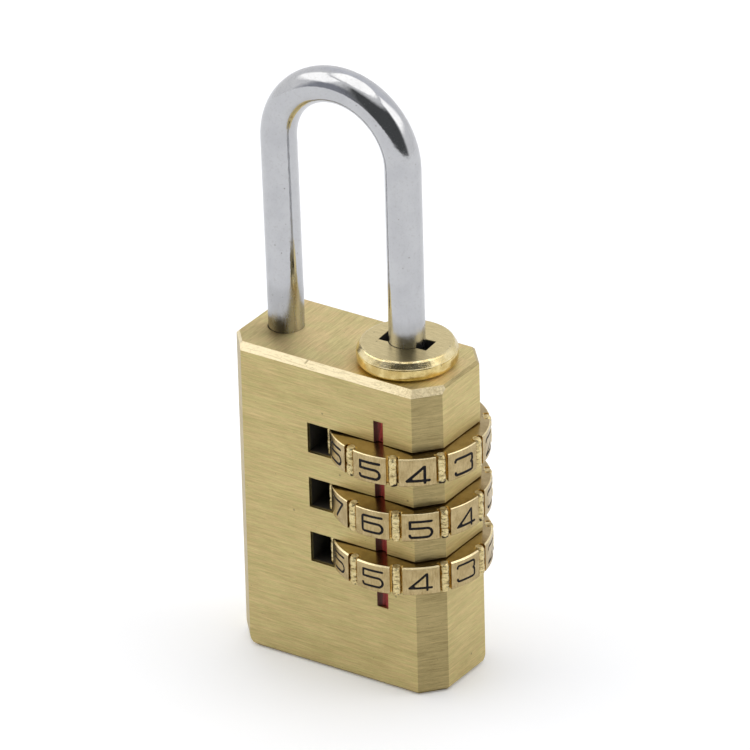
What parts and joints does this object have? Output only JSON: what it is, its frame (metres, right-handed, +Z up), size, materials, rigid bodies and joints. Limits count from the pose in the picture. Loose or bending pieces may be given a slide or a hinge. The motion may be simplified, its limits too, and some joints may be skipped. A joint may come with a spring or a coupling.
{
  "type": "combination padlock",
  "caption": "Small brass combination padlock with numbered dials on a column at one side, a chromed round-bar shackle and a red index mark.",
  "frame": {"origin": "centre of the lock body's flat bottom face", "axes": "+Z up along the shackle's legs, -Y out of the face with the index mark, +X towards the dials"},
  "size_m": [0.0216, 0.0132, 0.0527],
  "materials": {
    "body_brass": "brushed",
    "bush_brass": "satin",
    "dial_brass": "satin",
    "hub_brass": "machined",
    "shackle_chrome": "polished",
    "spring_steel": "plain",
    "black_paint": "matt",
    "red_paint": "worn"
  },
  "bodies": {
    "lock_body": {"lock_body": "body_brass", "base_plug": "body_brass", "collar_bush": "bush_brass", "index_mark_upper": "red_paint", "index_mark_high": "red_paint", "index_mark_low": "red_paint", "index_mark_lower": "red_paint", "click_spring_top": "spring_steel", "click_spring_middle": "spring_steel", "click_spring_bottom": "spring_steel", "hub_spring": "spring_steel"},
    "shackle": {"shackle": "shackle_chrome", "retaining_ring": "spring_steel"},
    "dial_top": {"number_dial_top": "dial_brass", "number_paint_top": "black_paint"},
    "hub_top": {"code_hub_top": "hub_brass"},
    "dial_middle": {"number_dial_middle": "dial_brass", "number_paint_middle": "black_paint"},
    "hub_middle": {"code_hub_middle": "hub_brass"},
    "dial_bottom": {"number_dial_bottom": "dial_brass", "number_paint_bottom": "black_paint"},
    "hub_bottom": {"code_hub_bottom": "hub_brass", "thrust_washer": "spring_steel"}
  },
  "joints": [
    {"name": "shackle_lift", "type": "slide", "parent": "lock_body", "child": "shackle", "axis": [0, 0, 1], "range_m": [0, 0.00505]},
    {"name": "dial_top_turn", "type": "hinge", "parent": "lock_body", "child": "dial_top", "pos_m": [0.00488, 0, 0.0211], "axis": [0, 0, 1], "continuous": true, "deforming": ["click_spring_top"]},
    {"name": "dial_middle_turn", "type": "hinge", "parent": "lock_body", "child": "dial_middle", "pos_m": [0.00488, 0, 0.0161], "axis": [0, 0, 1], "continuous": true, "deforming": ["click_spring_middle"]},
    {"name": "dial_bottom_turn", "type": "hinge", "parent": "lock_body", "child": "dial_bottom", "pos_m": [0.00488, 0, 0.011], "axis": [0, 0, 1], "continuous": true, "deforming": ["click_spring_bottom"]},
    {"name": "hub_top_shift", "type": "slide", "parent": "dial_top", "child": "hub_top", "axis": [0, 0, 1], "range_m": [-0.0014, 0]},
    {"name": "hub_middle_shift", "type": "slide", "parent": "dial_middle", "child": "hub_middle", "axis": [0, 0, 1], "range_m": [-0.0014, 0]},
    {"name": "hub_bottom_shift", "type": "slide", "parent": "dial_bottom", "child": "hub_bottom", "axis": [0, 0, 1], "range_m": [-0.0014, 0], "stiffness_N_per_m": 300, "springref_m": 0.003, "deforming": ["hub_spring"]}
  ],
  "couplings": [
    {"joint": "hub_top_shift", "follows": "hub_bottom_shift", "ratio": 1},
    {"joint": "hub_middle_shift", "follows": "hub_bottom_shift", "ratio": 1}
  ]
}
